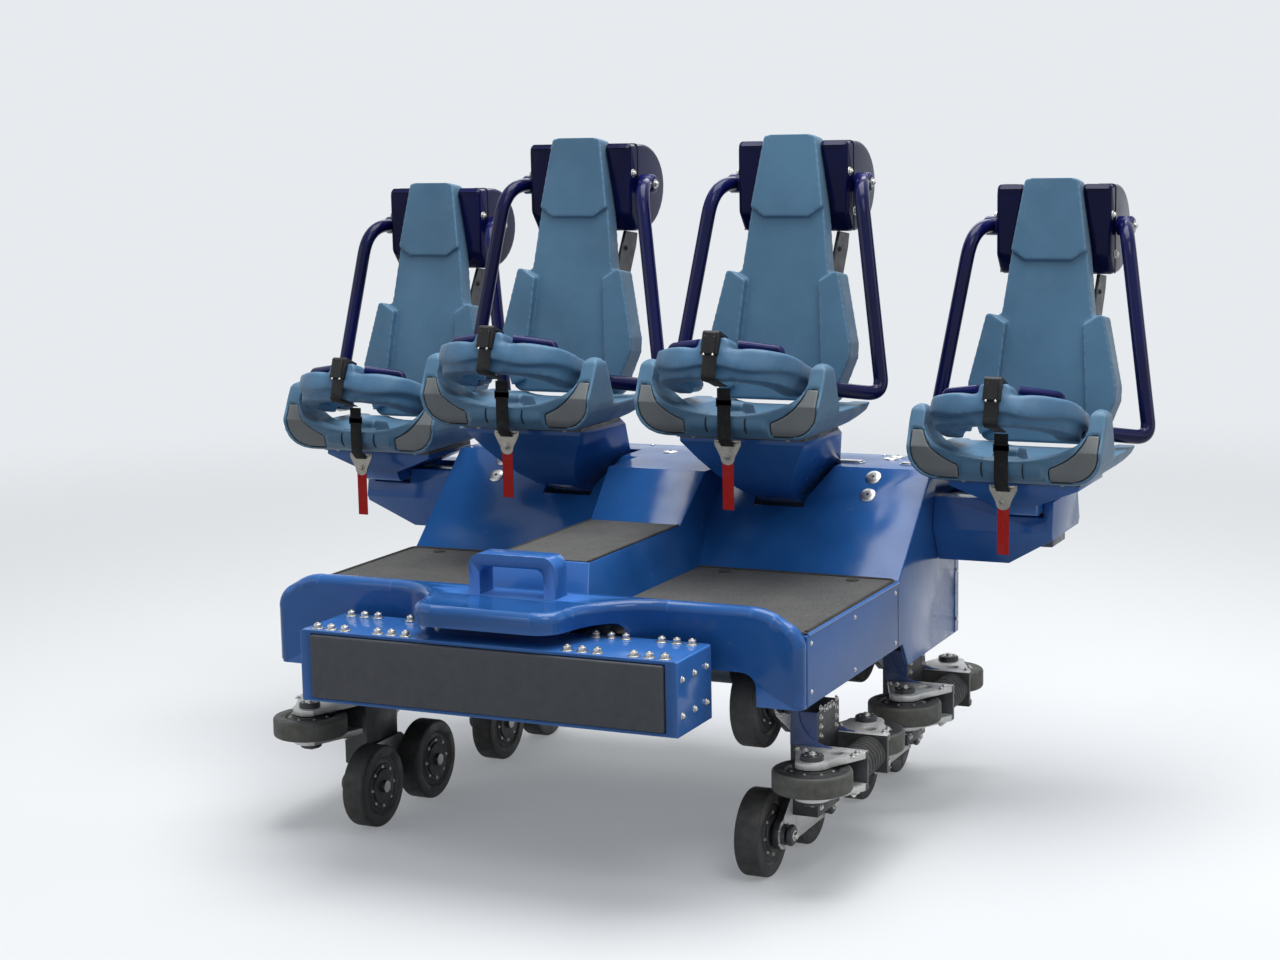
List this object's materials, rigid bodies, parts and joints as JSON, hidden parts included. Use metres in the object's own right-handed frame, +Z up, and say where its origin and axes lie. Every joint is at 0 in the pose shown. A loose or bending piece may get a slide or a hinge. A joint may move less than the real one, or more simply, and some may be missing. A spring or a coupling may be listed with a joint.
{
  "type": "roller coaster car with wing seats",
  "caption": "Lead car of a steel roller coaster: inner and outer seats with lap restraints on a tub body, carried by wheel bogies.",
  "frame": {"origin": "middle of the bounding box's bottom face; the floor touches the up-stop wheels", "axes": "+Z up, -Y forward, +X to the rider's left"},
  "size_m": [3.302, 2.2715, 2.297],
  "materials": {
    "body_paint": "glossy royal blue gel coat",
    "navy_paint": "glossy navy paint",
    "seat_shell": "moulded light steel-blue foam skin, slightly satin",
    "pad_foam": "moulded light steel-blue padding",
    "grip_mat": "gritty dark grey anti-slip mat",
    "buffer_rubber": "dark grey rubber pad",
    "pod_panel": "moulded grey panel",
    "frame_steel": "dark painted steel",
    "bogie_steel": "machined plates and dark forgings",
    "wheel_tyre": "dark polyurethane tread on a dark hub",
    "webbing": "black woven webbing",
    "red_webbing": "red woven webbing"
  },
  "bodies": {
    "car": {"chassis": "frame_steel", "seat_beam": "frame_steel", "body_shell": "body_paint", "nose": "body_paint", "floor_mats": "grip_mat", "front_buffer": "body_paint", "buffer_pad": "buffer_rubber", "seat_pedestals": "body_paint", "wing_panels": "body_paint", "seat_backs": "seat_shell", "seat_pans": "seat_shell", "pan_pods": "pod_panel", "head_housings": "navy_paint", "hinge_brackets": "frame_steel", "belts": "webbing", "belt_tails": "red_webbing", "bogie_front_left": "bogie_steel", "bogie_front_right": "bogie_steel", "bogie_rear_left": "bogie_steel", "bogie_rear_right": "bogie_steel"},
    "restraint_outer_left": {"restraint_outer_left": "navy_paint", "lap_pad_outer_left": "pad_foam"},
    "restraint_inner_left": {"restraint_inner_left": "navy_paint", "lap_pad_inner_left": "pad_foam"},
    "restraint_inner_right": {"restraint_inner_right": "navy_paint", "lap_pad_inner_right": "pad_foam"},
    "restraint_outer_right": {"restraint_outer_right": "navy_paint", "lap_pad_outer_right": "pad_foam"},
    "road_wheel_front_left_lead": {"road_wheel_front_left_lead": "wheel_tyre"},
    "side_wheel_front_left_lead": {"side_wheel_front_left_lead": "wheel_tyre"},
    "upstop_wheel_front_left_lead": {"upstop_wheel_front_left_lead": "wheel_tyre"},
    "road_wheel_front_left_trail": {"road_wheel_front_left_trail": "wheel_tyre"},
    "side_wheel_front_left_trail": {"side_wheel_front_left_trail": "wheel_tyre"},
    "upstop_wheel_front_left_trail": {"upstop_wheel_front_left_trail": "wheel_tyre"},
    "road_wheel_front_right_lead": {"road_wheel_front_right_lead": "wheel_tyre"},
    "side_wheel_front_right_lead": {"side_wheel_front_right_lead": "wheel_tyre"},
    "upstop_wheel_front_right_lead": {"upstop_wheel_front_right_lead": "wheel_tyre"},
    "road_wheel_front_right_trail": {"road_wheel_front_right_trail": "wheel_tyre"},
    "side_wheel_front_right_trail": {"side_wheel_front_right_trail": "wheel_tyre"},
    "upstop_wheel_front_right_trail": {"upstop_wheel_front_right_trail": "wheel_tyre"},
    "road_wheel_rear_left_lead": {"road_wheel_rear_left_lead": "wheel_tyre"},
    "side_wheel_rear_left_lead": {"side_wheel_rear_left_lead": "wheel_tyre"},
    "upstop_wheel_rear_left_lead": {"upstop_wheel_rear_left_lead": "wheel_tyre"},
    "road_wheel_rear_left_trail": {"road_wheel_rear_left_trail": "wheel_tyre"},
    "side_wheel_rear_left_trail": {"side_wheel_rear_left_trail": "wheel_tyre"},
    "upstop_wheel_rear_left_trail": {"upstop_wheel_rear_left_trail": "wheel_tyre"},
    "road_wheel_rear_right_lead": {"road_wheel_rear_right_lead": "wheel_tyre"},
    "side_wheel_rear_right_lead": {"side_wheel_rear_right_lead": "wheel_tyre"},
    "upstop_wheel_rear_right_lead": {"upstop_wheel_rear_right_lead": "wheel_tyre"},
    "road_wheel_rear_right_trail": {"road_wheel_rear_right_trail": "wheel_tyre"},
    "side_wheel_rear_right_trail": {"side_wheel_rear_right_trail": "wheel_tyre"},
    "upstop_wheel_rear_right_trail": {"upstop_wheel_rear_right_trail": "wheel_tyre"}
  },
  "joints": [
    {"name": "open_restraint_outer_left", "type": "hinge", "parent": "car", "child": "restraint_outer_left", "pos_m": [1.241, 0.9115, 1.96], "axis": [-1, 0, 0], "range_deg": [0, 80]},
    {"name": "open_restraint_inner_left", "type": "hinge", "parent": "car", "child": "restraint_inner_left", "pos_m": [0.413, 0.5345, 2.127], "axis": [-1, 0, 0], "range_deg": [0, 80]},
    {"name": "open_restraint_inner_right", "type": "hinge", "parent": "car", "child": "restraint_inner_right", "pos_m": [-0.413, 0.5345, 2.127], "axis": [-1, 0, 0], "range_deg": [0, 80]},
    {"name": "open_restraint_outer_right", "type": "hinge", "parent": "car", "child": "restraint_outer_right", "pos_m": [-1.241, 0.9115, 1.96], "axis": [-1, 0, 0], "range_deg": [0, 80]},
    {"name": "turn_road_front_left_lead", "type": "hinge", "parent": "car", "child": "road_wheel_front_left_lead", "pos_m": [0.71, -0.6405, 0.567], "axis": [1, 0, 0], "continuous": true},
    {"name": "turn_side_front_left_lead", "type": "hinge", "parent": "car", "child": "side_wheel_front_left_lead", "pos_m": [0.907, -0.6955, 0.35], "axis": [0, 0, 1], "continuous": true},
    {"name": "turn_upstop_front_left_lead", "type": "hinge", "parent": "car", "child": "upstop_wheel_front_left_lead", "pos_m": [0.71, -0.6255, 0.139], "axis": [1, 0, 0], "continuous": true},
    {"name": "turn_road_front_left_trail", "type": "hinge", "parent": "car", "child": "road_wheel_front_left_trail", "pos_m": [0.71, -0.2505, 0.567], "axis": [1, 0, 0], "continuous": true},
    {"name": "turn_side_front_left_trail", "type": "hinge", "parent": "car", "child": "side_wheel_front_left_trail", "pos_m": [0.907, -0.1955, 0.35], "axis": [0, 0, 1], "continuous": true},
    {"name": "turn_upstop_front_left_trail", "type": "hinge", "parent": "car", "child": "upstop_wheel_front_left_trail", "pos_m": [0.71, -0.2655, 0.139], "axis": [1, 0, 0], "continuous": true},
    {"name": "turn_road_front_right_lead", "type": "hinge", "parent": "car", "child": "road_wheel_front_right_lead", "pos_m": [-0.71, -0.6405, 0.567], "axis": [1, 0, 0], "continuous": true},
    {"name": "turn_side_front_right_lead", "type": "hinge", "parent": "car", "child": "side_wheel_front_right_lead", "pos_m": [-0.907, -0.6955, 0.35], "axis": [0, 0, 1], "continuous": true},
    {"name": "turn_upstop_front_right_lead", "type": "hinge", "parent": "car", "child": "upstop_wheel_front_right_lead", "pos_m": [-0.71, -0.6255, 0.139], "axis": [1, 0, 0], "continuous": true},
    {"name": "turn_road_front_right_trail", "type": "hinge", "parent": "car", "child": "road_wheel_front_right_trail", "pos_m": [-0.71, -0.2505, 0.567], "axis": [1, 0, 0], "continuous": true},
    {"name": "turn_side_front_right_trail", "type": "hinge", "parent": "car", "child": "side_wheel_front_right_trail", "pos_m": [-0.907, -0.1955, 0.35], "axis": [0, 0, 1], "continuous": true},
    {"name": "turn_upstop_front_right_trail", "type": "hinge", "parent": "car", "child": "upstop_wheel_front_right_trail", "pos_m": [-0.71, -0.2655, 0.139], "axis": [1, 0, 0], "continuous": true},
    {"name": "turn_road_rear_left_lead", "type": "hinge", "parent": "car", "child": "road_wheel_rear_left_lead", "pos_m": [0.71, 0.2535, 0.567], "axis": [1, 0, 0], "continuous": true},
    {"name": "turn_side_rear_left_lead", "type": "hinge", "parent": "car", "child": "side_wheel_rear_left_lead", "pos_m": [0.907, 0.1985, 0.35], "axis": [0, 0, 1], "continuous": true},
    {"name": "turn_upstop_rear_left_lead", "type": "hinge", "parent": "car", "child": "upstop_wheel_rear_left_lead", "pos_m": [0.71, 0.2685, 0.139], "axis": [1, 0, 0], "continuous": true},
    {"name": "turn_road_rear_left_trail", "type": "hinge", "parent": "car", "child": "road_wheel_rear_left_trail", "pos_m": [0.71, 0.6435, 0.567], "axis": [1, 0, 0], "continuous": true},
    {"name": "turn_side_rear_left_trail", "type": "hinge", "parent": "car", "child": "side_wheel_rear_left_trail", "pos_m": [0.907, 0.6985, 0.35], "axis": [0, 0, 1], "continuous": true},
    {"name": "turn_upstop_rear_left_trail", "type": "hinge", "parent": "car", "child": "upstop_wheel_rear_left_trail", "pos_m": [0.71, 0.6285, 0.139], "axis": [1, 0, 0], "continuous": true},
    {"name": "turn_road_rear_right_lead", "type": "hinge", "parent": "car", "child": "road_wheel_rear_right_lead", "pos_m": [-0.71, 0.2535, 0.567], "axis": [1, 0, 0], "continuous": true},
    {"name": "turn_side_rear_right_lead", "type": "hinge", "parent": "car", "child": "side_wheel_rear_right_lead", "pos_m": [-0.907, 0.1985, 0.35], "axis": [0, 0, 1], "continuous": true},
    {"name": "turn_upstop_rear_right_lead", "type": "hinge", "parent": "car", "child": "upstop_wheel_rear_right_lead", "pos_m": [-0.71, 0.2685, 0.139], "axis": [1, 0, 0], "continuous": true},
    {"name": "turn_road_rear_right_trail", "type": "hinge", "parent": "car", "child": "road_wheel_rear_right_trail", "pos_m": [-0.71, 0.6435, 0.567], "axis": [1, 0, 0], "continuous": true},
    {"name": "turn_side_rear_right_trail", "type": "hinge", "parent": "car", "child": "side_wheel_rear_right_trail", "pos_m": [-0.907, 0.6985, 0.35], "axis": [0, 0, 1], "continuous": true},
    {"name": "turn_upstop_rear_right_trail", "type": "hinge", "parent": "car", "child": "upstop_wheel_rear_right_trail", "pos_m": [-0.71, 0.6285, 0.139], "axis": [1, 0, 0], "continuous": true}
  ]
}
